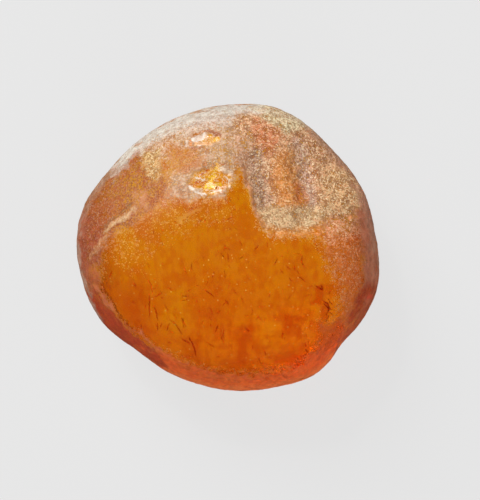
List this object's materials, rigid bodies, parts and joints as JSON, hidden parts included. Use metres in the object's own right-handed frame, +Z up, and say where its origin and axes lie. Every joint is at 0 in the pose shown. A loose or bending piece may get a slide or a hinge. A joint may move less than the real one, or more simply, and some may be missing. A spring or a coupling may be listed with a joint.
{
  "type": "raw amber piece",
  "caption": "Rounded translucent lump of raw amber with a rough crusted face, a clear honey-orange window and chipped edges, lying on its flattest side.",
  "frame": {"origin": "on the resting face's plane, under the middle of the lump's width and depth", "axes": "+X along the longest way across, +Z up through the thickness, away from the resting face; the crusted face is towards +X and +Y"},
  "size_m": [0.042, 0.04, 0.024],
  "materials": {
    "amber": "satin"
  },
  "bodies": {
    "root": {"amber": "amber"}
  },
  "joints": []
}
